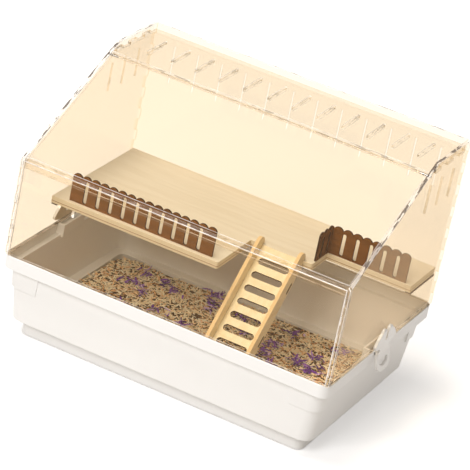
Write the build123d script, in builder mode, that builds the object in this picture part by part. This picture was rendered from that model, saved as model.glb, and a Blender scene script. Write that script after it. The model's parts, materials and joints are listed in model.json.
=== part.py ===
from build123d import *
import os
from math import atan2, cos, degrees, radians, sin, tan

os.makedirs("parts", exist_ok=True)

# Small-pet cage: a white moulded tray, a clear acrylic cover with a flip-up sloping door,
# and a wooden deck with fences and a ladder hung inside the cover.
# Origin: middle of the tray's underside. X runs along the cage, the front is -Y, Z is up. Millimetres.

# ---- cover ----
cover_length = 470.0        # outside of one end panel to outside of the other
cover_depth = 321.0
sheet = 5.0                 # acrylic sheet thickness
crease_z = 250.0            # upright front ends and the slope begins
top_z = 354.0
slope_end_y = 54.0          # the slope meets the level top here
top_recess = 8.0            # the top panel lies this far below the end panels' top edge

# ---- tray ----
tray_height = 115.5
rim_reach = 1.0             # rim stands this far outside the cover all round
rim_under_z = 97.5          # underside of the stepped-out rim
rim_corner = 14.0
wall = 3.0
foot_height = 23.0
foot_inset = 28.0
wall_inset_low = 15.0
wall_inset_high = 8.0

# ---- wooden fittings ----
deck_top_z = 169.0
deck_thick = 10.0
fence_height = 40.0
fence_thick = 3.0
ladder_angle = 44.5
ladder_board = 4.0
ladder_width = 55.0

# ---- end latches ----
latch_thick = 4.0
latch_top_z = 142.0
latch_foot_z = 82.0
latch_axis_z = 106.0
pin_radius = 1.5
running_gap = 0.05          # radial clearance of every turning pin

half_length = cover_length / 2
inner_x = half_length - sheet
front_y = -cover_depth / 2
back_y = cover_depth / 2
cover_z = tray_height       # the cover stands on the rim
rim_length = cover_length + 2 * rim_reach
rim_depth = cover_depth + 2 * rim_reach
slope = degrees(atan2(top_z - crease_z, slope_end_y - front_y))
slope_rise = tan(radians(slope))


def slope_z(y):
    """Height of the sloping outline above a given y."""
    return crease_z + (y - front_y) * slope_rise


# ------------------------------------------------------------------ tray
# Stepped moulding: upright foot, ledge, leaning wall, stepped-out rim, a stacking block at each corner.
foot_corner = 12.0
wall_corner = 18.0
block_height = 28.0
block_run_x = 46.0          # how far each corner block reaches along the long side
block_run_y = 40.0
block_proud = 2.0
wall_draft = degrees(atan2(wall_inset_low - wall_inset_high, rim_under_z - foot_height))

# a boxed-in pocket at the middle of each end, where the latch hinges; its outer wall is cut away
pocket_half = 24.0          # half the pocket's clear width
pocket_cheek = 3.5          # wall beside the pocket, which holds the pin
pocket_wall = 3.0           # wall behind the pocket
pocket_back_x = half_length - 11.0
pocket_mouth_x = half_length - 4.0
latch_axis_x = half_length - 3.5
latch_pin_length = 2 * (pocket_half + 2.5)
pin_ends = [(latch_axis_x, 0, latch_axis_z), (-latch_axis_x, 0, latch_axis_z)]
rim_height = tray_height - rim_under_z
rim_wall = wall + 0.5
beyond = 5.0                # how far a cutting shape runs past what it cuts


def tray_outline(inset, corner):
    """Rounded rectangle that lies a given distance inside the rim's outer edge."""
    RectangleRounded(rim_length - 2 * inset, rim_depth - 2 * inset, corner)


def at_both_ends(from_x, to_x, half_width):
    """A rectangle from one x to another at the right end, and its mirror image at the left end."""
    with Locations(((from_x + to_x) / 2, 0), (-(from_x + to_x) / 2, 0)):
        Rectangle(to_x - from_x, 2 * half_width)


with BuildPart() as tray:
    with BuildSketch(Plane.XY):
        tray_outline(foot_inset, foot_corner)
    extrude(amount=foot_height)
    chamfer(tray.faces().sort_by(Axis.Z)[0].edges(), 1.5)
    with BuildSketch(Plane.XY.offset(foot_height)):
        tray_outline(wall_inset_low, wall_corner)
    with BuildSketch(Plane.XY.offset(rim_under_z)):
        tray_outline(wall_inset_high, wall_corner)
    loft()
    with BuildSketch(Plane.XY.offset(rim_under_z)):
        tray_outline(wall_inset_high - block_proud, wall_corner + block_proud)
        Rectangle(rim_length - 2 * (wall_inset_high + block_run_x), rim_depth, mode=Mode.SUBTRACT)
        Rectangle(rim_length, rim_depth - 2 * (wall_inset_high + block_run_y), mode=Mode.SUBTRACT)
    extrude(amount=-block_height, taper=wall_draft)
    with BuildSketch(Plane.XY.offset(rim_under_z)):
        tray_outline(0, rim_corner)
    extrude(amount=rim_height)

    # the inside follows the outside, one wall thickness in
    with BuildSketch(Plane.XY.offset(wall)):
        tray_outline(foot_inset + wall, foot_corner - wall)
    extrude(amount=foot_height, mode=Mode.SUBTRACT)
    with BuildSketch(Plane.XY.offset(foot_height + wall)):
        tray_outline(wall_inset_low + wall, wall_corner - wall)
    with BuildSketch(Plane.XY.offset(rim_under_z + wall)):
        tray_outline(wall_inset_high + wall, wall_corner - wall)
    loft(mode=Mode.SUBTRACT)
    with BuildSketch(Plane.XY.offset(rim_under_z + wall)):
        tray_outline(rim_wall, rim_corner - rim_wall)
    extrude(amount=rim_height, mode=Mode.SUBTRACT)

    with BuildSketch(Plane.XY.offset(rim_under_z)):
        at_both_ends(pocket_back_x - pocket_wall, half_length, pocket_half + pocket_cheek)
    extrude(amount=rim_height)
    with BuildSketch(Plane.XY.offset(rim_under_z + wall)):
        at_both_ends(pocket_back_x, half_length, pocket_half)
    extrude(amount=rim_height, mode=Mode.SUBTRACT)
    with BuildSketch(Plane.XY.offset(rim_under_z - beyond)):
        at_both_ends(pocket_mouth_x, half_length + beyond, pocket_half)
    extrude(amount=rim_height + 2 * beyond, mode=Mode.SUBTRACT)
    with Locations(pin_ends):
        Cylinder(pin_radius, latch_pin_length, rotation=(90, 0, 0), mode=Mode.SUBTRACT)

# ------------------------------------------------------------------ bedding
# Loose wood shavings that fill the foot of the tray, drawn as one closed body.
bedding_top_z = 25.0
bedding_gap = 0.4
with BuildPart() as bedding:
    with BuildSketch(Plane.XY.offset(wall)):
        tray_outline(foot_inset + wall + bedding_gap, foot_corner - wall)
    extrude(amount=bedding_top_z - wall)

# ------------------------------------------------------------------ latches
# One moulded clip on each end: a shield with two fingers that lies against the acrylic,
# a hinge barrel in the rim pocket, and a flared pull tab with an oval hole below.
latch_gap = 0.4             # between the shield and the end panel
plate_x = half_length + latch_gap
shield_half = 31.0
shield_foot_z = 117.0
tab_half = 21.0
flare_start_z = 107.0
flare = 6.0                 # the tab's tip stands this far out from the shield
neck_half = 15.0
barrel_radius = 3.2
barrel_half = neck_half - 2.0
web_height = 5.0

# one half of the outline, as (across, height), from the slit round to the middle of the tab's tip
slit_foot = (-2.4, 124)
finger_inner = (-3.6, 139)
finger_crown = (-8, latch_top_z)
finger_outer = (-15, 137.5)
shoulder_bend = (-24.5, 131)
shoulder_end = (-shield_half, 123)
shield_corner = (2 - shield_half, shield_foot_z + 1.2)
shield_foot = (6 - shield_half, shield_foot_z)
neck_top = (-neck_half - 2, shield_foot_z - 1)
neck_middle = (-neck_half, 112.5)
neck_foot = (-neck_half - 2.5, flare_start_z + 1)
tab_side = (-tab_half, 97)
tab_tip = (-7, latch_foot_z)
hole_top = 99.0
hole_side = (-12.5, 95)
hole_corner = (-10, 91)
hole_foot = 88.5

with BuildPart() as latch_right:
    with BuildSketch(Plane.YZ.offset(half_length)):
        with BuildLine() as latch_edge:
            Line((0, slit_foot[1]), slit_foot)
            Line(slit_foot, finger_inner)
            ThreePointArc(finger_inner, finger_crown, finger_outer)
            ThreePointArc(finger_outer, shoulder_bend, shoulder_end)
            ThreePointArc(shoulder_end, shield_corner, shield_foot)
            Line(shield_foot, neck_top)
            ThreePointArc(neck_top, neck_middle, neck_foot)
            ThreePointArc(neck_foot, tab_side, tab_tip)
            Line(tab_tip, (0, latch_foot_z))
            mirror(latch_edge.line, about=Plane.YZ)
        make_face()
        with BuildLine() as hole_edge:
            Line((0, hole_top), (1.5 + hole_side[0], hole_top))
            ThreePointArc((1.5 + hole_side[0], hole_top), hole_side, hole_corner)
            Line(hole_corner, (0, hole_foot))
            mirror(hole_edge.line, about=Plane.YZ)
        make_face(mode=Mode.SUBTRACT)
    extrude(amount=latch_gap + flare + 2 * latch_thick)
    # the bent side profile: upright shield, rounded off at the top, and a flared tab
    with BuildSketch(Plane.XZ):
        with BuildLine():
            Polyline((plate_x, latch_top_z + 1),
                     (plate_x, flare_start_z),
                     (plate_x + flare, latch_foot_z - 1),
                     (plate_x + flare + latch_thick, latch_foot_z - 1),
                     (plate_x + latch_thick, flare_start_z - 0.5),
                     (plate_x + latch_thick, latch_top_z - 2),
                     (plate_x + latch_thick - 2, latch_top_z + 1),
                     close=True)
        make_face()
    extrude(amount=shield_half + 2, both=True, mode=Mode.INTERSECT)
    # hinge barrel with the web that ties it to the shield
    with BuildSketch(Plane.XZ):
        with Locations((latch_axis_x, latch_axis_z)):
            Circle(barrel_radius)
        with Locations(((latch_axis_x + plate_x + 1) / 2, latch_axis_z)):
            Rectangle(plate_x + 1 - latch_axis_x, web_height)
        with Locations((latch_axis_x, latch_axis_z)):
            Circle(pin_radius + running_gap, mode=Mode.SUBTRACT)
    extrude(amount=barrel_half, both=True)

with BuildPart() as latch_left:
    mirror(latch_right.part, about=Plane.YZ)

with BuildPart() as latch_pins:
    with Locations(pin_ends):
        Cylinder(pin_radius, latch_pin_length, rotation=(90, 0, 0))

# ------------------------------------------------------------------ end panels
# Laser-cut acrylic. Fingers of the front and back panels and tabs of the top panel pass through their edges.
front_fingers = 5
back_fingers = 7
finger_fit = 0.1
vent_width = 3.0
end_vent_pitch = 37.0
end_vent_length = 40.0
end_vent_z = 305.0
top_panel_z = top_z - top_recess          # upper face of the top panel
top_front_y = front_y + (top_panel_z - crease_z) / slope_rise
top_back_y = back_y - sheet
tab_length = 18.0
tab_pitch = 38.0
tab_count = 3
end_vent_count = 3
end_vent_middle_y = 85.0
top_middle_y = (top_front_y + top_back_y) / 2

# the door turns in the plane of the slope, about pins in its own upper edge
door_gap = 0.6
door_axis_y = top_front_y - door_gap - sheet / 2
door_axis_s = (door_axis_y - sheet / 2 * sin(radians(slope)) - front_y) / cos(radians(slope))
door_axis_z = crease_z + door_axis_s * sin(radians(slope)) - sheet / 2 * cos(radians(slope))
door_pin_radius = 1.25


def finger_pitch(top, count):
    """Length of one finger, and of each gap or land beside it, in a joint from the cover's foot up to top."""
    return (top - cover_z) / (2 * count + 1)


def finger_centres(top, count):
    """Heights of the finger centres of an upright joint."""
    pitch = finger_pitch(top, count)
    return [cover_z + pitch * (1.5 + 2 * number) for number in range(count)]


with BuildPart() as end_panel_right:
    with BuildSketch(Plane.YZ.offset(inner_x)):
        with BuildLine():
            Polyline((front_y, cover_z), (front_y, crease_z), (slope_end_y, top_z), (back_y, top_z),
                     (back_y, cover_z), close=True)
        make_face()
        with Locations([(front_y + sheet / 2, z) for z in finger_centres(crease_z, front_fingers)]):
            Rectangle(sheet, finger_pitch(crease_z, front_fingers), mode=Mode.SUBTRACT)
        with Locations([(back_y - sheet / 2, z) for z in finger_centres(top_z, back_fingers)]):
            Rectangle(sheet, finger_pitch(top_z, back_fingers), mode=Mode.SUBTRACT)
        with Locations((top_middle_y, top_panel_z - sheet / 2)):
            with GridLocations(tab_pitch, 0, tab_count, 1):
                Rectangle(tab_length, sheet, mode=Mode.SUBTRACT)
        with Locations((end_vent_middle_y, end_vent_z)):
            with GridLocations(end_vent_pitch, 0, end_vent_count, 1):
                Rectangle(vent_width, end_vent_length, mode=Mode.SUBTRACT)
        with Locations((door_axis_y, door_axis_z)):
            Circle(door_pin_radius + running_gap, mode=Mode.SUBTRACT)
    extrude(amount=sheet)

with BuildPart() as end_panel_left:
    mirror(end_panel_right.part, about=Plane.YZ)

# ------------------------------------------------------------------ front panel
# Upright; its top edge is bevelled to the slope, its fingers show on both ends.
with BuildPart() as front_panel:
    with BuildSketch(Plane.YZ.offset(-inner_x)):
        with BuildLine():
            Polyline((front_y, cover_z), (front_y, crease_z), (front_y + sheet, slope_z(front_y + sheet)),
                     (front_y + sheet, cover_z), close=True)
        make_face()
    extrude(amount=2 * inner_x)
    with BuildSketch(Plane.XZ.offset(-front_y)):
        for z in finger_centres(crease_z, front_fingers):
            with Locations((0, z)):
                Rectangle(cover_length, finger_pitch(crease_z, front_fingers) - finger_fit)
    extrude(amount=-sheet)

# door rest: a clear bar glued behind the front panel's upper edge, under the door's lower edge
rest_width = 6.0
rest_height = 12.0
rest_gap = 0.3
door_start = 8.0            # the door's lower edge lies this far up the slope from the crease
rest_drop = (sheet + rest_gap) / cos(radians(slope))
rest_front_y = front_y + sheet
rest_back_y = rest_front_y + rest_width

with BuildPart() as door_rest:
    with BuildSketch(Plane.YZ.offset(-inner_x)):
        with BuildLine():
            Polyline((rest_front_y, slope_z(rest_front_y) - rest_drop),
                     (rest_back_y, slope_z(rest_back_y) - rest_drop),
                     (rest_back_y, crease_z - rest_height),
                     (rest_front_y, crease_z - rest_height),
                     close=True)
        make_face()
    extrude(amount=2 * inner_x)

# ------------------------------------------------------------------ back panel
vent_count = 12
vent_pitch = 36.0
back_vent_length = 56.0
back_vent_z = 303.0

with BuildPart() as back_panel:
    with BuildSketch(Plane.XZ.offset(-top_back_y)):
        with Locations((0, (cover_z + top_z) / 2)):
            Rectangle(2 * inner_x, top_z - cover_z)
        for z in finger_centres(top_z, back_fingers):
            with Locations((0, z)):
                Rectangle(cover_length, finger_pitch(top_z, back_fingers) - finger_fit)
        with Locations((0, back_vent_z)):
            with GridLocations(vent_pitch, 0, vent_count, 1):
                Rectangle(vent_width, back_vent_length, mode=Mode.SUBTRACT)
    extrude(amount=-sheet)

# ------------------------------------------------------------------ top panel
top_vent_length = 52.0
top_vent_y = 101.0

with BuildPart() as top_panel:
    with BuildSketch(Plane.XY.offset(top_panel_z - sheet)):
        with Locations((0, top_middle_y)):
            Rectangle(2 * inner_x, top_back_y - top_front_y)
            with GridLocations(0, tab_pitch, 1, tab_count):
                Rectangle(cover_length, tab_length - finger_fit)
        with Locations((0, top_vent_y)):
            with GridLocations(vent_pitch, 0, vent_count, 1):
                Rectangle(vent_width, top_vent_length, mode=Mode.SUBTRACT)
    extrude(amount=sheet)

# ------------------------------------------------------------------ door
# One sheet in the plane of the slope; the upper edge is rounded about the pin line so that it can turn.
door_side_gap = 0.8
door_plane = Plane(origin=(0, front_y, crease_z), x_dir=(0, cos(radians(slope)), sin(radians(slope))),
                   z_dir=(1, 0, 0))

with BuildPart() as door:
    with BuildSketch(door_plane.offset(door_side_gap - inner_x)):
        with BuildLine():
            lower = Line((door_start, -sheet), (door_start, 0))
            outer = Line(lower @ 1, (door_axis_s, 0))
            ThreePointArc(outer @ 1, (door_axis_s + sheet / 2, -sheet / 2), (door_axis_s, -sheet))
            Line((door_axis_s, -sheet), lower @ 0)
        make_face()
    extrude(amount=2 * (inner_x - door_side_gap))
    with Locations((0, door_axis_y, door_axis_z)):
        Cylinder(door_pin_radius, cover_length, rotation=(0, 90, 0), mode=Mode.SUBTRACT)

# stub pins, pressed into the door's edge and turning in the end panels
pin_inner_x = inner_x - door_side_gap - 10.0
pin_outer_x = inner_x + 4.4
pin_middle_x = (pin_inner_x + pin_outer_x) / 2

with BuildPart() as door_pins:
    with Locations((pin_middle_x, door_axis_y, door_axis_z), (-pin_middle_x, door_axis_y, door_axis_z)):
        Cylinder(door_pin_radius, pin_outer_x - pin_inner_x, rotation=(0, 90, 0))

# ------------------------------------------------------------------ deck
# One board with a stepped front edge: deep on the left, a middle bay for the ladder, a narrow right end.
deck_front_y = -64.0
bay_left_x = 18.0
bay_right_x = 108.0
bay_y = 30.0
right_y = 76.0
deck_gap = 0.5
deck_x = inner_x - deck_gap
deck_back_y = top_back_y - deck_gap
deck_corner = 3.0

with BuildPart() as deck:
    with BuildSketch(Plane.XY.offset(deck_top_z - deck_thick)) as deck_shape:
        with BuildLine():
            Polyline((-deck_x, deck_front_y), (bay_left_x, deck_front_y), (bay_left_x, bay_y),
                     (bay_right_x, bay_y), (bay_right_x, right_y), (deck_x, right_y),
                     (deck_x, deck_back_y), (-deck_x, deck_back_y), close=True)
        make_face()
        # only the right-hand corner of each of the two front steps stands free, and is rounded off
        steps = deck_shape.vertices().group_by(Axis.Y)[:2]
        fillet([step.sort_by(Axis.X)[-1] for step in steps], deck_corner)
    extrude(amount=deck_thick)

# ledges glued to the end panels, under the deck's ends
ledge_width = 8.0
ledge_height = 3.0


def ledge_outline(x, start_y):
    """Plan of a slim batten that lies against one end panel and carries the deck."""
    with BuildSketch(Plane.XY.offset(deck_top_z - deck_thick - ledge_height)) as outline:
        with Locations((x, (start_y + deck_back_y) / 2)):
            Rectangle(ledge_width, deck_back_y - start_y)
    return outline.sketch


with BuildPart() as ledge_left:
    extrude(ledge_outline(ledge_width / 2 - inner_x, deck_front_y + deck_corner), amount=ledge_height)
with BuildPart() as ledge_right:
    extrude(ledge_outline(inner_x - ledge_width / 2, right_y + deck_corner), amount=ledge_height)

# ------------------------------------------------------------------ fences
# Thin boards with a scalloped top and a row of upright slots.
hump_rise = 4.2
slot_width = 5.4
slot_height = 31.0
slot_middle = 17.5          # height of the slots' middle above the deck
front_humps, front_slots, front_slot_pitch = 16, 10, 18.8
side_humps, side_slots, side_slot_pitch = 8, 5, 19.5
short_humps, short_slots, short_slot_pitch = 3, 2, 18.0


def fence_outline(plane, length, humps, slots, slot_pitch):
    """Face of a fence board on a plane whose x runs along it and whose y is up; its foot is at y = 0."""
    hump = length / humps
    shoulder = fence_height - hump_rise
    with BuildSketch(plane) as outline:
        with BuildLine():
            Polyline((length / 2, shoulder), (length / 2, 0), (-length / 2, 0), (-length / 2, shoulder))
            for number in range(humps):
                left = number * hump - length / 2
                ThreePointArc((left, shoulder), (left + hump / 2, fence_height), (left + hump, shoulder))
        make_face()
        with Locations((0, slot_middle)):
            with GridLocations(slot_pitch, 0, slots, 1):
                SlotOverall(slot_height, slot_width, rotation=90, mode=Mode.SUBTRACT)
    return outline.sketch


def upright(x, y, x_dir):
    """Upright plane with its origin on the deck's top."""
    return Plane(origin=(x, y, deck_top_z), x_dir=x_dir, z_dir=Vector(*x_dir).cross(Vector(0, 0, 1)))


front_fence_left = -207.5
front_fence_right = 5.0
front_fence_y = -56.0
side_fence_y = right_y + 3.0
side_fence_right = 220.0
short_fence_start = 40.0
short_fence_end = side_fence_y + fence_thick / 2

with BuildPart() as fence_front:
    foot_middle = upright((front_fence_left + front_fence_right) / 2, front_fence_y, (1, 0, 0))
    extrude(fence_outline(foot_middle, front_fence_right - front_fence_left, front_humps, front_slots,
                          front_slot_pitch), amount=fence_thick / 2, both=True)
with BuildPart() as fence_side_long:
    foot_middle = upright((bay_right_x + side_fence_right) / 2, side_fence_y, (1, 0, 0))
    extrude(fence_outline(foot_middle, side_fence_right - bay_right_x, side_humps, side_slots,
                          side_slot_pitch), amount=fence_thick / 2, both=True)
with BuildPart() as fence_side_short:
    foot_middle = upright(bay_right_x - fence_thick / 2, (short_fence_start + short_fence_end) / 2, (0, 1, 0))
    extrude(fence_outline(foot_middle, short_fence_end - short_fence_start, short_humps, short_slots,
                          short_slot_pitch), amount=fence_thick / 2, both=True)

# ------------------------------------------------------------------ ladder
# A slotted board tenoned between two round-topped side boards that hook over the deck's edge.
ladder_x = 62.5
ladder_foot_z = foot_height + wall + 0.6        # on the shavings, just clear of the tray's ledge
ladder_top_gap = 0.2
rail_thick = 5.0
rail_width = 22.0
rail_lift = 4.6             # the side boards' centre line lies this far above the slotted board's face
rail_start = 3.2            # centre of the rounded end, measured down the slope
rung_length = 43.5
rung_width = 9.0
rung_pitch = 20.0
rung_count = 9
first_rung = 22.0
tenon_length = 16.0
tenon_places = (42.0, 122.0)
slant = radians(ladder_angle)
ladder_edge_y = bay_y - ladder_top_gap
ladder_run = (deck_top_z - ladder_foot_z) / sin(slant)
spare_run = 2 * rail_width  # sawn off again at the foot
# ladder_plane: x across the ladder, y up the slope. rail_plane: x down the slope, y out of the treads
ladder_plane = Plane(origin=(ladder_x, ladder_edge_y, deck_top_z),
                     x_dir=(1, 0, 0), z_dir=(0, -sin(slant), cos(slant)))
rail_plane = Plane(origin=(0, ladder_edge_y, deck_top_z),
                   x_dir=(0, -cos(slant), -sin(slant)), z_dir=(-1, 0, 0))

with BuildPart() as ladder_tread:
    with BuildSketch(ladder_plane):
        with Locations((0, -ladder_run / 2)):
            Rectangle(ladder_width, ladder_run + spare_run)
        with Locations([(0, -place) for place in tenon_places]):
            Rectangle(ladder_width + 2 * rail_thick, tenon_length)
        with Locations([(0, -first_rung - rung_pitch * number) for number in range(rung_count)]):
            SlotOverall(rung_length, rung_width, mode=Mode.SUBTRACT)
    extrude(amount=-ladder_board)
    # level cut at the foot, upright cut against the deck
    split(bisect_by=Plane.XY.offset(ladder_foot_z), keep=Keep.TOP)
    split(bisect_by=Plane.XZ.offset(-ladder_edge_y), keep=Keep.TOP)


def rail_outline(outer_x):
    """Side board in the plane of its outer face: a strip with one round end and two mortises."""
    with BuildSketch(rail_plane.offset(-outer_x)) as outline:
        with Locations((rail_start, rail_lift)):
            Circle(rail_width / 2)
        with Locations((rail_start + (ladder_run + spare_run) / 2, rail_lift)):
            Rectangle(ladder_run + spare_run, rail_width)
        with Locations([(place, -ladder_board / 2) for place in tenon_places]):
            Rectangle(tenon_length, ladder_board, mode=Mode.SUBTRACT)
    return outline.sketch


def deck_edge():
    """Plan of the stretch of the deck's edge that the side boards' tops hook over."""
    with BuildSketch(Plane.XY.offset(deck_top_z)) as outline:
        with Locations((ladder_x, ladder_edge_y + rail_width)):
            Rectangle(2 * ladder_width, 2 * rail_width)
    return outline.sketch


with BuildPart() as ladder_rail_left:
    extrude(rail_outline(ladder_x - ladder_width / 2), amount=rail_thick)
    split(bisect_by=Plane.XY.offset(ladder_foot_z), keep=Keep.TOP)
    extrude(deck_edge(), amount=-2 * deck_thick, mode=Mode.SUBTRACT)
with BuildPart() as ladder_rail_right:
    extrude(rail_outline(ladder_x + ladder_width / 2 + rail_thick), amount=rail_thick)
    split(bisect_by=Plane.XY.offset(ladder_foot_z), keep=Keep.TOP)
    extrude(deck_edge(), amount=-2 * deck_thick, mode=Mode.SUBTRACT)

# ------------------------------------------------------------------ hand-over
pieces = {
    "tray": tray,
    "bedding": bedding,
    "latch_right": latch_right,
    "latch_left": latch_left,
    "latch_pins": latch_pins,
    "end_panel_right": end_panel_right,
    "end_panel_left": end_panel_left,
    "front_panel": front_panel,
    "door_rest": door_rest,
    "back_panel": back_panel,
    "top_panel": top_panel,
    "door": door,
    "door_pins": door_pins,
    "deck": deck,
    "ledge_left": ledge_left,
    "ledge_right": ledge_right,
    "fence_front": fence_front,
    "fence_side_long": fence_side_long,
    "fence_side_short": fence_side_short,
    "ladder_tread": ladder_tread,
    "ladder_rail_left": ladder_rail_left,
    "ladder_rail_right": ladder_rail_right,
}
for name, piece in pieces.items():
    piece.part.label = name
    export_step(piece.part, f"parts/{name}.step")
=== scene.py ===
import json
from math import cos, pi, radians, sin

import bpy
import numpy as np
from mathutils import Matrix, Vector

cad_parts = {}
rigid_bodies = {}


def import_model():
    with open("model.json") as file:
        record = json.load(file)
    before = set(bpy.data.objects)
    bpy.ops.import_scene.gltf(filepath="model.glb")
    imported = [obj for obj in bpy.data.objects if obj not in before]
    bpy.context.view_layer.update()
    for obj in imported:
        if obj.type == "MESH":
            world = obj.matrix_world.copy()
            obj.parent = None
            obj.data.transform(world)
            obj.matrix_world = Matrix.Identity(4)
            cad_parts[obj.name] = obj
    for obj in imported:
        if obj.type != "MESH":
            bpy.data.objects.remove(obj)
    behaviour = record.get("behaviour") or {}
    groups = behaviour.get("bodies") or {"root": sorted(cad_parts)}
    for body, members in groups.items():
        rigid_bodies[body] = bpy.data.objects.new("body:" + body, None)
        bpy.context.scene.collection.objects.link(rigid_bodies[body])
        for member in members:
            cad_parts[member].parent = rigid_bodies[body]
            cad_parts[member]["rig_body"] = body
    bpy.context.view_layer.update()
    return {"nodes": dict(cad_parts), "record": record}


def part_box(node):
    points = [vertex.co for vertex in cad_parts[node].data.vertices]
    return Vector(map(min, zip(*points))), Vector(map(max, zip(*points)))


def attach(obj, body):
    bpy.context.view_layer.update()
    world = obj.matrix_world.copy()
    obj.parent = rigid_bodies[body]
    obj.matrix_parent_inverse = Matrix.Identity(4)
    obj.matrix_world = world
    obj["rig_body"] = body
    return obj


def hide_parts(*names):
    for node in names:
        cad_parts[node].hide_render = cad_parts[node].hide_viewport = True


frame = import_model()
nodes = frame["nodes"]
slots = {row["node"]: row["material_slot"] for row in frame["record"]["subparts"]}

# ------------------------------------------------------------------ camera
# A long lens looks down on the cage's front and right end, and is rolled so that the cage leans to the right.
camera_azimuth = radians(22.205)
camera_elevation = radians(25.216)
camera_roll = radians(11.987)
camera_distance = 3.8464
camera_aim = Vector((0.0012, 0.0133, 0.1751))
lens_length = 227.96
sensor_width = 36.0

view_back = Vector((sin(camera_azimuth) * cos(camera_elevation),
                    -cos(camera_azimuth) * cos(camera_elevation),
                    sin(camera_elevation)))
camera_data = bpy.data.cameras.new("camera")
camera_data.sensor_width = sensor_width
camera_data.lens = lens_length
camera = bpy.data.objects.new("camera", camera_data)
bpy.context.scene.collection.objects.link(camera)
camera.matrix_world = (Matrix.Translation(camera_aim + view_back * camera_distance)
                       @ view_back.to_track_quat("Z", "Y").to_matrix().to_4x4()
                       @ Matrix.Rotation(camera_roll, 4, "Z"))
bpy.context.scene.camera = camera


# ------------------------------------------------------------------ tray
# Glossy white injection-moulded plastic: a foot, leaning walls and a stepped-out rim in one piece.
# The mould leaves a very fine sparkle and a slow ripple on the skin, and rounds every edge a little.
class Signal:
    """One output of a shader node. Arithmetic on it adds Math nodes, so a mask reads as its formula."""

    def __init__(self, finish, socket):
        self.finish = finish
        self.socket = socket

    def math(self, operation, *values):
        return self.finish.add("ShaderNodeMath", {"operation": operation}, dict(enumerate(values)))

    def __add__(self, other):
        return self.math("ADD", self, other)

    def __mul__(self, other):
        return self.math("MULTIPLY", self, other)

    def __sub__(self, other):
        return self.math("SUBTRACT", self, other)

    def __rsub__(self, other):
        return self.math("SUBTRACT", other, self)

    def __abs__(self):
        return self.math("ABSOLUTE", self)

    def __pow__(self, power):
        return self.math("POWER", self, power)

    __radd__ = __add__
    __rmul__ = __mul__

    def step(self, start, end):
        """0 at start and 1 at end, with a smooth run between them; start may be the larger."""
        return self.finish.add("ShaderNodeMapRange", {"interpolation_type": "SMOOTHSTEP"},
                               {"Value": self, "From Min": start, "From Max": end})


class Finish:
    """The node tree of one finish, or of the surround."""

    def __init__(self, owner):
        self.owner = owner
        owner.use_nodes = True
        self.tree = owner.node_tree
        self.tree.nodes.clear()

    def add(self, kind, settings={}, sockets={}, output=0):
        """Adds a node with its settings first, then a value or a link for each socket; returns one output."""
        node = self.tree.nodes.new(kind)
        for name, value in settings.items():
            if name == "stops":
                ramp = node.color_ramp.elements
                ramp[0].color = value[0][1]
                ramp[-1].color = value[-1][1]
                for place, colour in value[1:-1]:
                    ramp.new(place).color = colour
            else:
                setattr(node, name, value)
        for name, value in sockets.items():
            if isinstance(value, Signal):
                self.tree.links.new(value.socket, node.inputs[name])
            else:
                node.inputs[name].default_value = value
        return Signal(self, node.outputs[output]) if node.outputs else None

    def place(self, stretch=(1, 1, 1), turn=(0, 0, 0)):
        """Object coordinates, turned and stretched."""
        where = self.add("ShaderNodeTexCoord", output="Object")
        return self.add("ShaderNodeMapping", {}, {"Vector": where, "Rotation": turn, "Scale": stretch})

    def noise(self, where, scale, detail=3.0, roughness=0.55):
        return self.add("ShaderNodeTexNoise", {}, {"Vector": where, "Scale": scale, "Detail": detail,
                                                   "Roughness": roughness})

    def blend(self, mask, first, second):
        """Colour that runs from first to second as mask runs from 0 to 1."""
        return self.add("ShaderNodeMix", {"data_type": "RGBA"}, {0: mask, 6: first, 7: second}, output=2)

    def bump(self, height, distance, strength=1.0):
        return self.add("ShaderNodeBump", {}, {"Height": height, "Distance": distance, "Strength": strength})

    def slant_from(self, direction):
        """How squarely a face looks along a direction, either way: 1 face on, 0 edge on."""
        normal = self.add("ShaderNodeTexCoord", output="Normal")
        return abs(self.add("ShaderNodeVectorMath", {"operation": "DOT_PRODUCT"},
                            {0: normal, 1: direction}, "Value"))

    def close(self, shader, kind="ShaderNodeOutputMaterial"):
        self.add(kind, {}, {"Surface": shader})
        return self.owner


def new_finish(name):
    return Finish(bpy.data.materials.new(name))


def ink(red, green, blue):
    """Linear colour for a screen colour given in the usual 0 to 255 steps."""
    steps = np.array([red, green, blue]) / 255
    return tuple(np.where(steps < 0.04045, steps / 12.92, ((steps + 0.055) / 1.055) ** 2.4)) + (1.0,)


def put(name, points, faces, finish, body, slot_name):
    """Makes a piece from worked-out points and faces, and sets it riding on a body."""
    mesh = bpy.data.meshes.new(name)
    mesh.from_pydata(points.reshape(-1, 3).tolist(), [], faces)
    mesh.materials.append(finish)
    piece = bpy.data.objects.new(name, mesh)
    bpy.context.scene.collection.objects.link(piece)
    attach(piece, body)
    return piece


merge_digits = 7                # corners that agree to this many decimals of a metre are one corner
flat_within = radians(0.6)      # triangles that turn less than this against each other are one flat face
sharp_over = radians(32)        # edges that turn more than this are eased


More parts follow.
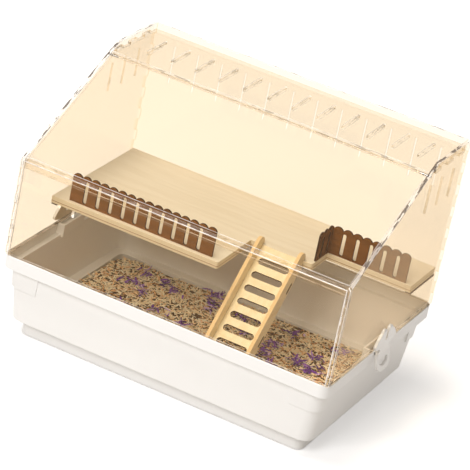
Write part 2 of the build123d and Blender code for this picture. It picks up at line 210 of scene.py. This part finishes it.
def eased(finish, ease, rounds, *names):
    """Puts an eased copy in the place of each node. The copy's loose triangles are joined where their corners
    meet, flat faces are made whole again, and a bevel takes the given width off every sharp edge: a plain
    chamfer for 0 rounds, and otherwise a round in that many steps."""
    for name in names:
        source = nodes[name].data
        corners = np.zeros(3 * len(source.vertices))
        source.vertices.foreach_get("co", corners)
        triangles = np.zeros(3 * len(source.polygons), int)
        source.polygons.foreach_get("vertices", triangles)
        places, joined = np.unique(corners.reshape(-1, 3).round(merge_digits), axis=0, return_inverse=True)
        triangles = joined.ravel()[triangles].reshape(-1, 3)
        whole = ((triangles[:, 0] != triangles[:, 1]) & (triangles[:, 1] != triangles[:, 2])
                 & (triangles[:, 2] != triangles[:, 0]))
        piece = put(name + "_eased", places, triangles[whole].tolist(), finish, nodes[name]["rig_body"],
                    slots[name])
        piece.data.polygons.foreach_set("use_smooth", np.full(int(whole.sum()), rounds > 0))
        flat = piece.modifiers.new("whole flat faces", "DECIMATE")
        flat.decimate_type = "DISSOLVE"
        flat.angle_limit = flat_within
        bevel = piece.modifiers.new("eased edges", "BEVEL")
        bevel.width = ease
        bevel.segments = max(rounds, 1)
        bevel.limit_method = "ANGLE"
        bevel.angle_limit = sharp_over
        bevel.use_clamp_overlap = False
        bevel.harden_normals = rounds > 0
        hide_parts(name)


cloud_repeats = 14.0            # per metre, as are the two below
ripple_repeats = 35.0
sparkle_repeats = 1600.0
skin_height = 0.00001


def moulded_plastic(name, light, shade, gloss):
    """Colour and roughness follow a slow cloud. The skin's height is a fine sparkle plus twice a ripple."""
    finish = new_finish(name)
    where = finish.place()
    cloud = finish.noise(where, cloud_repeats, 4.0)
    sparkle = finish.noise(where, sparkle_repeats, 2.0)
    ripple = finish.noise(where, ripple_repeats, 2.0)
    colour = finish.blend(cloud, light, shade)
    smooth = gloss + 0.04 * cloud
    skin = finish.bump(sparkle + 2.0 * ripple, skin_height, 0.6)
    return finish.close(finish.add("ShaderNodeBsdfPrincipled", {}, {
        "Base Color": colour, "Roughness": smooth, "IOR": 1.5, "Normal": skin,
        "Coat Weight": 0.2, "Coat Roughness": 0.15}))


tray_edge = 0.0008
tray_plastic = moulded_plastic("white_moulding", ink(248, 248, 247), ink(243, 242, 241), gloss=0.32)
eased(tray_plastic, tray_edge, 2, "tray")

# ------------------------------------------------------------------ bedding
# A loose layer of wood shavings in the tray's foot, with clumps of purple crinkle-cut paper.
# One uneven mound carries thousands of separate curled shavings and a few hundred paper shreds.
bed_low, bed_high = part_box("bedding")
bed_middle = (bed_low + bed_high) / 2
bed_half_x = (bed_high.x - bed_low.x) / 2
bed_half_y = (bed_high.y - bed_low.y) / 2
bed_squareness = 12.0
mound_drop = 0.0035
mound_spokes = 160
mound_rings = 60
mound_eye = 0.01                # radius of the flat middle, as a share of the outline's
draw = np.random.default_rng(20)


def bed_level(x, y):
    """Height of the mound: a level a little under the solid's top, with three sizes of slow wave added."""
    waves = (0.0016 * np.sin(31 * x + 17 * y + 0.4) + 0.0012 * np.sin(57 * y - 23 * x + 2.1)
             + 0.0008 * np.sin(141 * x + 1.3) * np.sin(119 * y + 0.7))
    return bed_high.z - mound_drop + waves


def bed_inside(x, y):
    """Below 1 inside the bed's outline, a squarish superellipse."""
    across = np.abs((x - bed_middle.x) / bed_half_x) ** bed_squareness
    return across + np.abs((y - bed_middle.y) / bed_half_y) ** bed_squareness


def mound():
    """Closed body on a polar grid: rings go out over the top from the middle to the superellipse's edge,
    down its side and back in under the bottom to the middle; ring radius and height are functions of the
    first parameter, the superellipse's angle is the second."""
    spokes = mound_spokes
    turn = np.linspace(0, 2 * pi, spokes, endpoint=False)
    outline_x = np.sign(np.cos(turn)) * np.abs(np.cos(turn)) ** (2 / bed_squareness)
    outline_y = np.sign(np.sin(turn)) * np.abs(np.sin(turn)) ** (2 / bed_squareness)
    top = np.linspace(mound_eye, 1, mound_rings)
    reach = np.concatenate([top, [1, mound_eye]])[:, None]
    x = bed_middle.x + bed_half_x * reach * outline_x
    y = bed_middle.y + bed_half_y * reach * outline_y
    z = bed_level(x, y)
    z[len(top):] = bed_low.z
    rings = len(reach)
    first = np.arange(rings - 1)[:, None] * spokes + np.arange(spokes)
    second = np.arange(rings - 1)[:, None] * spokes + np.roll(np.arange(spokes), -1)
    sides = np.stack([first, first + spokes, second + spokes, second], axis=-1).reshape(-1, 4)
    ends = [list(range(spokes)), list(range((rings - 1) * spokes, rings * spokes))[::-1]]
    return np.stack([x, y, z], axis=-1), sides.tolist() + ends


least_curl = 0.05               # a flatter strip is bent this much, so that its arc has a radius
point_share = 0.75              # how much of its section a strip loses towards its ends


def strips(length, width, thick, curl, crinkle, steps, x, y, lift, tilt):
    """Many slim bodies of triangular section. The middle line of one is an arc that turns through its curl
    over its length, with a zigzag of the given height added; the section shrinks with the third power of the
    distance from the middle, to a blunt point at both ends. Each is then turned by a random roll, tilt and
    heading, and set down on the mound at its x and y."""
    count = len(length)
    along = np.linspace(-0.5, 0.5, steps + 1)[None, :]
    bend = np.where(np.abs(curl) < least_curl, least_curl, curl)[:, None]
    radius = length[:, None] / bend
    line_x = radius * np.sin(bend * along)
    line_z = radius * (1 - np.cos(bend * along)) + crinkle[:, None] * (np.arange(steps + 1) % 2 - 0.5)
    taper = 1 - point_share * (2 * np.abs(along)) ** 3
    half = width[:, None] / 2 * taper
    deep = thick[:, None] * taper
    section = np.stack([np.stack([line_x, -half, line_z], axis=-1),
                        np.stack([line_x, half, line_z], axis=-1),
                        np.stack([line_x, 0 * half, line_z + deep], axis=-1)], axis=2)
    heading = draw.uniform(0, 2 * pi, count)
    pitch = draw.normal(0, tilt, count)
    roll = draw.normal(0, tilt, count) + pi * (draw.random(count) < 0.5)
    cos_h, sin_h, cos_p, sin_p, cos_r, sin_r = (
        wave(angle)[:, None, None] for angle in (heading, pitch, roll) for wave in (np.cos, np.sin))
    px, py, pz = section[..., 0], section[..., 1], section[..., 2]
    py, pz = cos_r * py - sin_r * pz, sin_r * py + cos_r * pz
    px, pz = cos_p * px + sin_p * pz, cos_p * pz - sin_p * px
    px, py = cos_h * px - sin_h * py, sin_h * px + cos_h * py
    points = np.stack([px + x[:, None, None], py + y[:, None, None],
                       pz + (bed_level(x, y) + lift)[:, None, None]], axis=-1)
    base = (np.arange(count) * (steps + 1) * 3)[:, None, None] + (np.arange(steps) * 3)[None, :, None]
    corner = np.arange(3)[None, None, :]
    follow = (corner + 1) % 3
    sides = np.stack([base + corner, base + follow, base + 3 + follow, base + 3 + corner], axis=-1)
    start = (np.arange(count) * (steps + 1) * 3)[:, None] + np.array([[2, 1, 0]])
    end = start[:, ::-1] + steps * 3
    return points, sides.reshape(-1, 4).tolist() + start.tolist() + end.tolist()


def heap(name, finish, points, faces):
    """A layer of strips in one mesh. Each strip carries one random tone from 0 to 1."""
    piece = put(name, points, faces, finish, "tray", "bedding")
    tone = piece.data.attributes.new("tone", "FLOAT", "POINT")
    each = draw.random(len(points)).astype(np.float32)
    tone.data.foreach_set("value", np.repeat(each, points.shape[1] * points.shape[2]))


def strewn(count, spread):
    """Random places inside the bed's outline."""
    x = bed_middle.x + bed_half_x * spread * draw.uniform(-1, 1, 2 * count)
    y = bed_middle.y + bed_half_y * spread * draw.uniform(-1, 1, 2 * count)
    keep = bed_inside(x, y) < spread
    return x[keep][:count], y[keep][:count]


fibre_repeats = 900.0           # per metre
fibre_height = 0.0002


def flake_finish(name, stops, weave):
    """Each strip has one tone, picked along a ramp, with a fine fibre streak of strength weave over it."""
    finish = new_finish(name)
    tone = finish.add("ShaderNodeAttribute", {"attribute_name": "tone"}, output="Fac")
    fibre = finish.noise(finish.place(), fibre_repeats, 2.0)
    colour = finish.add("ShaderNodeValToRGB", {"stops": stops}, {"Fac": tone + weave * (fibre - 0.5)})
    return finish.close(finish.add("ShaderNodeBsdfPrincipled", {}, {
        "Base Color": colour, "Roughness": 0.8, "Specular IOR Level": 0.04,
        "Normal": finish.bump(fibre, fibre_height, 0.5)}))


# The mound shows between the shavings; its colour runs from tan down to near-black brown, the dark end
# painted shade in the gaps.
mound_gap_shade_finish = flake_finish("shavings_with_painted_gap_shade", [(0.0, ink(66, 38, 20)), (1.0, ink(238, 186, 130))], 1.8)
put("bedding_mound", *mound(), mound_gap_shade_finish, "tray", "bedding")
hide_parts("bedding")

shaving_tones = [(0.0, ink(174, 116, 70)), (0.14, ink(246, 198, 146)), (0.36, ink(255, 235, 196)),
                 (1.0, ink(255, 248, 228))]
shaving_finish = flake_finish("wood_shavings", shaving_tones, 0.2)
shaving_count = 5000
shaving_spread = 0.985
shaving_length = (0.005, 0.013)
shaving_width = (0.0014, 0.0030)
shaving_thick = (0.0002, 0.0005)
shaving_curl = 0.7
shaving_tilt = 0.13
layer_depth = 0.0022
for layer, layer_lift in {"low": 0.0, "high": 0.0014}.items():
    x, y = strewn(shaving_count, shaving_spread)
    count = len(x)
    heap("shavings_" + layer, shaving_finish, *strips(
        draw.uniform(*shaving_length, count), draw.uniform(*shaving_width, count),
        draw.uniform(*shaving_thick, count), draw.normal(0, shaving_curl, count), np.zeros(count), 4,
        x, y, layer_lift + draw.uniform(0, layer_depth, count), shaving_tilt))

paper_tones = [(0.0, ink(70, 28, 108)), (0.5, ink(120, 60, 170)), (0.8, ink(152, 98, 202)),
               (1.0, ink(226, 200, 244))]
paper_finish = flake_finish("purple_paper", paper_tones, 0.3)
clump_count = 64
clump_spread = 0.93
clump_half_x = 0.0060
clump_half_y = 0.0050
shreds_each = 9
shred_length = (0.009, 0.019)
shred_width = (0.0022, 0.0034)
shred_thick = (0.0002, 0.0004)
shred_curl = 1.3
shred_crinkle = (0.0004, 0.0010)
shred_lift = (0.0036, 0.0070)
shred_tilt = 0.2
clump_x, clump_y = strewn(clump_count, clump_spread)
count = len(clump_x) * shreds_each
x = np.repeat(clump_x, shreds_each) + draw.normal(0, clump_half_x, count)
y = np.repeat(clump_y, shreds_each) + draw.normal(0, clump_half_y, count)
heap("paper_shreds", paper_finish, *strips(
    draw.uniform(*shred_length, count), draw.uniform(*shred_width, count),
    draw.uniform(*shred_thick, count), draw.normal(0, shred_curl, count),
    draw.uniform(*shred_crinkle, count), 6, x, y, draw.uniform(*shred_lift, count), shred_tilt))

# ------------------------------------------------------------------ latches and their pins
# One clip on each end, of the tray's white plastic made a little lighter and glossier, on a bright steel pin
# that was turned on a lathe. The lighter colour is painted light on the clips.
clip_edge = 0.0005
# painted light: the clips' colour is the tray's white made a little lighter
clip_plastic = moulded_plastic("clip_plastic", ink(253, 252, 251), ink(248, 247, 245), gloss=0.14)
eased(clip_plastic, clip_edge, 2, "latch_left", "latch_right")

turning_marks = (40, 900, 40)   # repeats per metre
pin_finish = new_finish("bright_pin")
turned = pin_finish.noise(pin_finish.place(turning_marks), 1.0, 2.0)
pin_steel = pin_finish.close(pin_finish.add("ShaderNodeBsdfPrincipled", {}, {
    "Base Color": pin_finish.blend(turned, ink(178, 178, 182), ink(206, 206, 208)), "Metallic": 1.0,
    "Roughness": 0.22 + 0.12 * turned}))


def dress(material, *names):
    """Gives one finish to several carried-over nodes."""
    for name in names:
        nodes[name].data.materials.clear()
        nodes[name].data.materials.append(material)


dress(pin_steel, "latch_pins", "door_pins")

# ------------------------------------------------------------------ acrylic cover
# Clear cast sheet, laser-cut, finger-jointed and cemented. Its broad faces let nearly everything through and
# shine at a slant, in a warm colour that is a painted reflection of warm surroundings. Its cut edges are
# clear
# with a little frost and painted streaks: pale ones of painted edge light, brown ones of dark surroundings
# painted in as if refracted. Its arrises and front seams carry painted highlight lines with painted dark
# dashes.
along_x = (1, 0, 0)
along_y = (0, 1, 0)
along_z = (0, 0, 1)
door_slope = radians(25.866)
along_slope = (0, -sin(door_slope), cos(door_slope))
crease_height = 0.250
sheet_tint = ink(253, 249, 242)
# painted reflection: the shine's warm tan colour stands for warm surroundings mirrored in the sheet
painted_warm_shine = ink(206, 184, 152)
# painted light and shade for the edges: the pale colour is painted edge light and highlight, the brown
# painted dark surroundings seen by refraction
painted_edge_light = ink(248, 243, 239)
painted_dark_refraction = ink(62, 42, 26)
face_reflection = 0.04
end_low, end_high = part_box("end_panel_right")
sheet_thick = end_high.x - end_low.x
joint_reach = sheet_thick + 0.0009      # a joint's mask takes in the eased edges beside it
crisp = 0.0004                  # over this distance a joint's mask runs from 0 to 1
seam_fade = (0.0010, 0.0006)    # distance from a seam where it starts to show, and where it is full
front_half = (0.001, -0.001)    # y where a front joint's seams start, and where they are full
below_top = (0.001, 0.002)      # depth where the back corners' edges start to fade, and where they have
back_fade = 0.8
slots_below_slope = (0.006, 0.010)
slots_below_top = (0.004, 0.006)
slots_over_crease = 0.01
slots_fade = 0.85
streaks_along = 55.0            # per metre, in a sheet's plane
streaks_across = 190.0          # added through its thickness
dash_repeats = (40, 40, 40)
# the bands below place painted marks on the edges: dark streaks, pale streaks, breaks in the arris highlight,
# dark dashes and seam dashes
painted_dark_streaks = (0.53, 0.56)    # here and below: noise where a mark starts to show, and where it is full
painted_streak_spread = (0.54, 0.57)
painted_arris_breaks = (0.52, 0.6)
painted_dark_dashes = (0.48, 0.52)
painted_seam_dashes = (0.55, 0.6)
cut_faces = (0.6, 0.5)
broad_faces = (0.85, 0.95)


def clear_sheet(name, facing, line, frost_and_painted_streaks):
    """A sheet whose broad faces look along the facing direction. Reflection follows Schlick's rule: 0.04 at
    right angles, rising with the fifth power of the slant, in the painted warm colour of the shine. Line is
    how strongly the painted highlight lines on its arrises show, and the argument after it how strongly its
    cut faces are frosted and carry painted streaks of edge light and dark refraction. Inside a cemented joint
    its own
    edges vanish, and a front joint shows only its seams, as painted highlight lines with painted dark dashes:
    where the depths from the two outer faces are equal or a thickness apart. On an end panel the air slots'
    edges, between the crease, the slope and the top, show only faintly."""
    finish = new_finish(name)
    slant = finish.add("ShaderNodeLayerWeight", {}, {"Blend": 0.5}, "Facing")
    reflection = face_reflection + (1.0 - face_reflection) * slant ** 5.0
    see_through = finish.add("ShaderNodeBsdfTransparent", {}, {"Color": sheet_tint})
    # the shine's warm colour is a painted reflection
    shine = finish.add("ShaderNodeBsdfGlossy", {}, {"Color": painted_warm_shine, "Roughness": 0.03})
    face = finish.add("ShaderNodeMixShader", {}, {0: reflection, 1: see_through, 2: shine})

    x, y, z = (finish.add("ShaderNodeSeparateXYZ", {}, {0: finish.place()}, axis) for axis in "XYZ")
    from_end = end_high.x - abs(x)
    from_front = end_high.y - abs(y)
    joint = from_end.math("MAXIMUM", from_end, from_front).step(joint_reach, joint_reach - crisp)
    apart = abs(from_end - from_front)
    seams = apart.step(*seam_fade) + abs(apart - sheet_thick).step(*seam_fade)
    seams = line * seams * joint * y.step(*front_half)
    behind = y.step(end_high.y - joint_reach, end_high.y - joint_reach + crisp)
    under = z.step(end_high.z - below_top[0], end_high.z - below_top[1])
    shown = (1.0 - joint) * (1.0 - back_fade * behind * under)
    if facing == along_x:
        below = (crease_height * cos(door_slope) + end_high.y * sin(door_slope)
                 - cos(door_slope) * z + sin(door_slope) * y)
        vents = (below.step(*slots_below_slope)
                 * z.step(end_high.z - slots_below_top[0], end_high.z - slots_below_top[1])
                 * z.step(crease_height, crease_height + slots_over_crease))
        shown = shown * (1.0 - slots_fade * vents)

    # cut faces: a little frost, with painted streaks of pale edge light and of brown dark refraction
    fine = tuple(streaks_along + streaks_across * abs(part) for part in facing)
    streaks = finish.noise(finish.place(fine), 1.0, 2.0, 0.5)
    painted_streak_colour = finish.blend(streaks.step(*painted_dark_streaks), painted_edge_light, painted_dark_refraction)
    frost_with_painted_streaks = finish.add("ShaderNodeBsdfPrincipled", {}, {"Base Color": painted_streak_colour, "Roughness": 0.3})
    edge = finish.add("ShaderNodeMixShader", {}, {
        0: frost_and_painted_streaks * shown * (0.4 + 0.6 * streaks.step(*painted_streak_spread)), 1: see_through, 2: frost_with_painted_streaks})

    # arrises: a painted highlight line, thinned in places and dashed with painted dark refraction
    dashes = finish.noise(finish.place(dash_repeats), 1.0, 1.0)
    painted_glint_colour = finish.blend(frost_and_painted_streaks * dashes.step(*painted_dark_dashes), painted_edge_light, painted_dark_refraction)
    painted_glint = finish.add("ShaderNodeBsdfPrincipled", {}, {"Base Color": painted_glint_colour, "Roughness": 0.25})
    arris = finish.add("ShaderNodeMixShader", {}, {
        0: line * shown * (1.0 - 0.4 * streaks.step(*painted_arris_breaks)), 1: see_through, 2: painted_glint})

    square = finish.slant_from(facing)
    rim = finish.add("ShaderNodeMixShader", {}, {0: square.step(*cut_faces), 1: arris, 2: edge})
    sheet = finish.add("ShaderNodeMixShader", {}, {0: square.step(*broad_faces), 1: rim, 2: face})
    # front seams: painted highlight lines with painted dark dashes
    painted_seam_colour = finish.blend(0.4 * dashes.step(*painted_seam_dashes), painted_edge_light, painted_dark_refraction)
    painted_seam_lines = finish.add("ShaderNodeBsdfPrincipled", {}, {"Base Color": painted_seam_colour, "Roughness": 0.25})
    return finish.close(finish.add("ShaderNodeMixShader", {}, {0: seams, 1: sheet, 2: painted_seam_lines}))


arris_ease = 0.0005
for sheet_name, facing, line, frost_and_painted_streaks, panels in (
        ("acrylic_end", along_x, 0.75, 0.85, ("end_panel_left", "end_panel_right")),
        ("acrylic_front", along_y, 0.9, 0.2, ("front_panel", "door_rest")),
        ("acrylic_back", along_y, 0.25, 0.5, ("back_panel",)),
        ("acrylic_top", along_z, 0.4, 0.4, ("top_panel",)),
        ("acrylic_door", along_slope, 0.8, 0.1, ("door",))):
    eased(clear_sheet(sheet_name, facing, line, frost_and_painted_streaks), arris_ease, 0, *panels)

# ------------------------------------------------------------------ deck and its ledges
# One sanded birch ply board on two brown battens: pale, with a quiet grain along its length and a thin
# scorched ply line on its sawn edges.
grain_across = 130              # repeats of the grain per metre
grain_along = 9
fibre_finer = 6
fibre_share = 0.35
grain_bands = (0.34, 0.72)      # noise where the dark grain starts, and where it is full
sawn_faces = (0.75, 0.45)       # squareness to the broad way where a sawn edge starts, and where it is full
grain_height = 0.00005


def sawn_wood(name, pale, dark, edge, broad, run, turn=(0, 0, 0), ply=None):
    """Grain is noise drawn out along the run direction, before the board is turned. Faces that don't look
    along the broad direction are sawn edges and take the edge colour; ply is a line's height, half width
    and colour on them."""
    finish = new_finish(name)
    grain_size = tuple(grain_across + (grain_along - grain_across) * part for part in run)
    fibre_size = tuple(fibre_finer * size for size in grain_size)
    grain = finish.noise(finish.place(grain_size, turn), 1.0, 5.0, 0.6)
    fibre = finish.noise(finish.place(fibre_size, turn), 1.0, 3.0)
    streak = (grain + fibre_share * (fibre - 0.5)).step(*grain_bands)
    sawn = finish.slant_from(broad).step(*sawn_faces)
    colour = finish.blend(sawn, finish.blend(streak, pale, dark), edge)
    if ply:
        line_height, line_half, line_colour = ply
        height = finish.add("ShaderNodeSeparateXYZ", {}, {0: finish.place()}, "Z")
        line = abs(height - line_height).step(line_half, 0.4 * line_half) * sawn
        colour = finish.blend(0.75 * line, colour, line_colour)
    return finish.close(finish.add("ShaderNodeBsdfPrincipled", {}, {
        "Base Color": colour, "Roughness": 0.6 + 0.15 * streak, "Specular IOR Level": 0.12,
        "Normal": finish.bump(streak + 0.5 * fibre, grain_height, 0.6)}))


deck_edge = 0.0005
deck_low, deck_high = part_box("deck")
ply_line = (deck_low.z + 0.35 * (deck_high.z - deck_low.z), 0.0008, ink(168, 120, 72))
deck_wood = sawn_wood("birch_deck", ink(237, 231, 216), ink(230, 222, 204), ink(241, 230, 205), along_z,
                      along_x, ply=ply_line)
eased(deck_wood, deck_edge, 2, "deck")
ledge_wood = sawn_wood("ledge_wood", ink(120, 76, 44), ink(92, 54, 28), ink(84, 48, 24), along_z, along_y)
dress(ledge_wood, "ledge_left", "ledge_right")

# ------------------------------------------------------------------ fences
# Thin laser-cut boards stained brown, standing on the deck's free edges. Their cut edges are nearly black
# from the laser.
fence_tones = (ink(132, 84, 36), ink(102, 62, 24), ink(56, 30, 14))
fence_ease = 0.0003
eased(sawn_wood("fence_wood", *fence_tones, along_y, along_x), fence_ease, 1,
      "fence_front", "fence_side_long")
eased(sawn_wood("fence_wood_end", *fence_tones, along_x, along_y), fence_ease, 1, "fence_side_short")

# ------------------------------------------------------------------ ladder
# A pale ply board with laser-cut slots between its rungs, tenoned between two round-topped side boards. Its
# cut faces, the slots' walls among them, are dark brown.
ladder_slant = radians(44.5)
tread_facing = (0, -sin(ladder_slant), cos(ladder_slant))
ladder_turn = (-ladder_slant, 0, 0)
tread_ease = 0.0004
rail_ease = 0.0005
tread_wood = sawn_wood("tread_wood", ink(248, 239, 210), ink(241, 225, 188), ink(84, 50, 26), tread_facing,
                       along_y, ladder_turn)
eased(tread_wood, tread_ease, 1, "ladder_tread")
rail_wood = sawn_wood("rail_wood", ink(252, 237, 206), ink(244, 223, 185), ink(238, 209, 161), along_x,
                      along_y, ladder_turn)
eased(rail_wood, rail_ease, 2, "ladder_rail_left", "ladder_rail_right")

# ------------------------------------------------------------------ studio
# A plain white floor that keeps the cage's soft shadow, one large soft lamp nearly overhead and one in front,
# and a warm pale surround. What the camera sees behind the cage is white; what lights it is a little warmer.
floor_reach = 12.0
floor_drop = 0.0002
floor_corners = [(-floor_reach, -floor_reach, -floor_drop), (floor_reach, -floor_reach, -floor_drop),
                 (floor_reach, floor_reach, -floor_drop), (-floor_reach, floor_reach, -floor_drop)]
floor_mesh = bpy.data.meshes.new("floor")
floor_mesh.from_pydata(floor_corners, [], [(0, 1, 2, 3)])
floor = bpy.data.objects.new("floor", floor_mesh)
bpy.context.scene.collection.objects.link(floor)


def seen(finish):
    """1 for a ray from the camera, a mirror or a clear sheet, and 0 for one that lights the cage."""
    camera_ray = finish.add("ShaderNodeLightPath", output="Is Camera Ray")
    glossy_ray = finish.add("ShaderNodeLightPath", output="Is Glossy Ray")
    transmission_ray = finish.add("ShaderNodeLightPath", output="Is Transmission Ray")
    return (camera_ray + glossy_ray + transmission_ray).step(0.2, 0.8)


floor_tone = ink(212, 208, 202)
floor_tone_seen = (0.8, 0.8, 0.8, 1.0)
white = (1.0, 1.0, 1.0, 1.0)
near_glow = 0.42                # the lamps reach less of the far floor, so its own glow grows outwards
far_glow = 0.34
glow_run = (0.6, 3.5)           # distance from the middle where the glow starts to grow, and where it is full
floor_finish = new_finish("pale_floor")
floor_seen = seen(floor_finish)
floor_distance = floor_finish.add("ShaderNodeVectorMath", {"operation": "LENGTH"}, {0: floor_finish.place()},
                                  "Value")
floor_cast = floor_finish.add("ShaderNodeBsdfDiffuse", {}, {
    "Color": floor_finish.blend(floor_seen, floor_tone, floor_tone_seen)})
floor_glow = floor_finish.add("ShaderNodeEmission", {}, {
    "Color": white, "Strength": (near_glow + far_glow * floor_distance.step(*glow_run)) * floor_seen})
floor_mesh.materials.append(floor_finish.close(floor_finish.add("ShaderNodeAddShader", {}, {
    0: floor_cast, 1: floor_glow})))

lamp_size = 1.8
for lamp_name, lamp_place, lamp_power in (("key", (-1.0, -0.6, 4.1), 113),
                                          ("front", (-0.3, -3.5, 2.9), 103)):
    lamp = bpy.data.lights.new(lamp_name, "AREA")
    lamp.shape = "SQUARE"
    lamp.size = lamp_size
    lamp.energy = lamp_power
    stand = bpy.data.objects.new(lamp_name, lamp)
    stand.location = lamp_place
    stand.rotation_euler = (stand.location - camera_aim).to_track_quat("Z", "Y").to_euler()
    bpy.context.scene.collection.objects.link(stand)

room_warmth = (1.0, 0.90, 0.80, 1.0)
room_strength = 0.33
bpy.context.scene.world = bpy.data.worlds.new("surround")
surround = Finish(bpy.context.scene.world)
ambient = surround.add("ShaderNodeBackground", {}, {"Color": room_warmth, "Strength": room_strength})
backdrop = surround.add("ShaderNodeBackground", {}, {"Color": white, "Strength": 1.0})
surround.close(surround.add("ShaderNodeMixShader", {}, {0: seen(surround), 1: ambient, 2: backdrop}),
               "ShaderNodeOutputWorld")

bpy.context.scene.view_settings.view_transform = "Standard"
bpy.context.scene.cycles.transparent_max_bounces = 32
